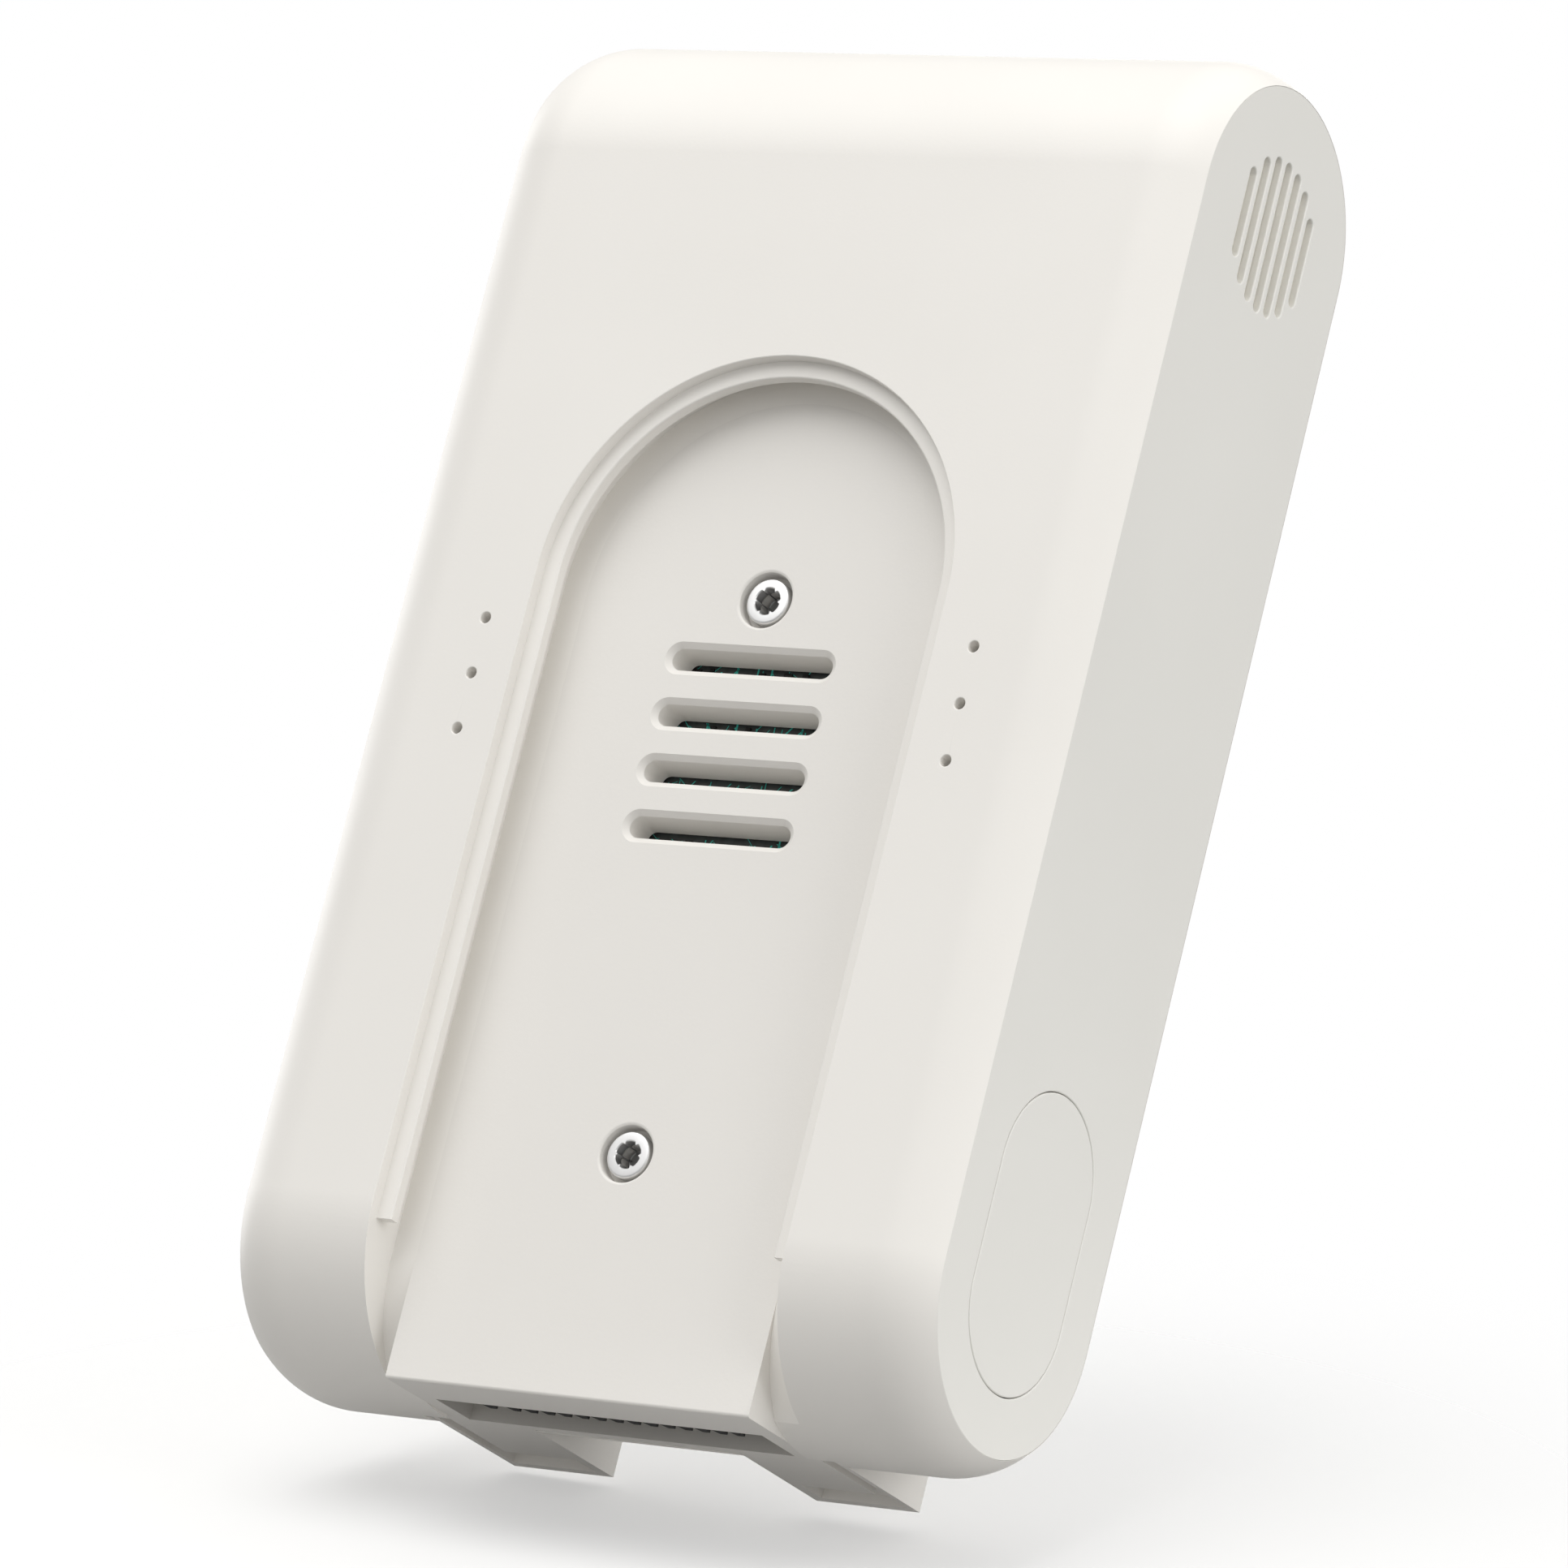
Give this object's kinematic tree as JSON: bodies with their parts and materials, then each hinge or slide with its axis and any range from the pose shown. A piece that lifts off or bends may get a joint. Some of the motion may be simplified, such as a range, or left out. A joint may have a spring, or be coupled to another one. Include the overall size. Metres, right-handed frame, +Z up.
{
  "type": "video doorbell",
  "caption": "Battery video doorbell with a rounded sleeve body, a rear bracket recess with an undercut rail, a side speaker grille and a front bell button.",
  "frame": {"origin": "on the flat floor of the rear recess, midway between the two chassis screws", "axes": "+Z up along the body, +Y out of the back towards the wall, +X across, to the left seen from behind; the front with the bell button faces -Y"},
  "size_m": [0.081, 0.0358, 0.1468],
  "materials": {
    "white_plastic": "satin, fine moulded grain",
    "chassis_plastic": "satin, coarser moulded grain",
    "side_cap_plastic": "satin",
    "grille_mesh": "woven acoustic mesh",
    "foam": "matt foam",
    "black_plastic": "moulded",
    "steel": "bright",
    "screw_steel": "nickel plated, light wear",
    "circuit_board": "solder mask",
    "copper_foil": "bare foil",
    "cell_wrap": "shrink wrap",
    "milky_plastic": "translucent white",
    "dark_glass": "tinted polished pane",
    "lens_glass": "coated lens",
    "rubber_dome": "silicone"
  },
  "bodies": {
    "housing": {"main_shell": "white_plastic", "chassis_sled": "chassis_plastic", "grille_side_cap": "side_cap_plastic", "plain_side_cap": "side_cap_plastic", "front_fascia": "side_cap_plastic", "grille_screen": "grille_mesh", "speaker_gasket": "foam", "speaker_driver": "black_plastic", "side_button_spring": "steel", "side_button_switch": "black_plastic", "side_button_board": "circuit_board", "dock_connector": "black_plastic", "connector_board": "circuit_board", "chassis_screw_upper": "screw_steel", "chassis_screw_lower": "screw_steel", "inner_frame": "black_plastic", "main_board": "circuit_board", "shield_can": "steel", "processor_chip": "black_plastic", "memory_chip": "black_plastic", "wifi_antenna": "copper_foil", "battery_cell_left": "cell_wrap", "battery_cell_right": "cell_wrap", "vent_membrane_left": "foam", "vent_membrane_right": "foam", "microphone_left": "steel", "microphone_right": "steel", "battery_cradle": "black_plastic", "battery_lead_plug": "milky_plastic", "camera_window": "dark_glass", "camera_lens_barrel": "black_plastic", "camera_front_lens": "lens_glass", "camera_holder": "black_plastic", "image_sensor_board": "circuit_board", "infrared_led_board": "circuit_board", "motion_sensor_lens": "milky_plastic", "motion_sensor": "steel", "bell_light_ring": "milky_plastic", "bell_button_dome": "rubber_dome", "button_board": "circuit_board"},
    "bell_button": {"bell_button_cap": "side_cap_plastic"},
    "side_button": {"side_button_plate": "side_cap_plastic"}
  },
  "joints": [
    {"name": "bell_button_press", "type": "slide", "parent": "housing", "child": "bell_button", "axis": [0, 1, 0], "range_m": [0, 0.0008], "stiffness_N_per_m": 1500, "springref_m": -0.0005},
    {"name": "side_button_press", "type": "slide", "parent": "housing", "child": "side_button", "axis": [1, 0, 0], "range_m": [0, 0.0006], "stiffness_N_per_m": 1500, "springref_m": -0.0005}
  ]
}
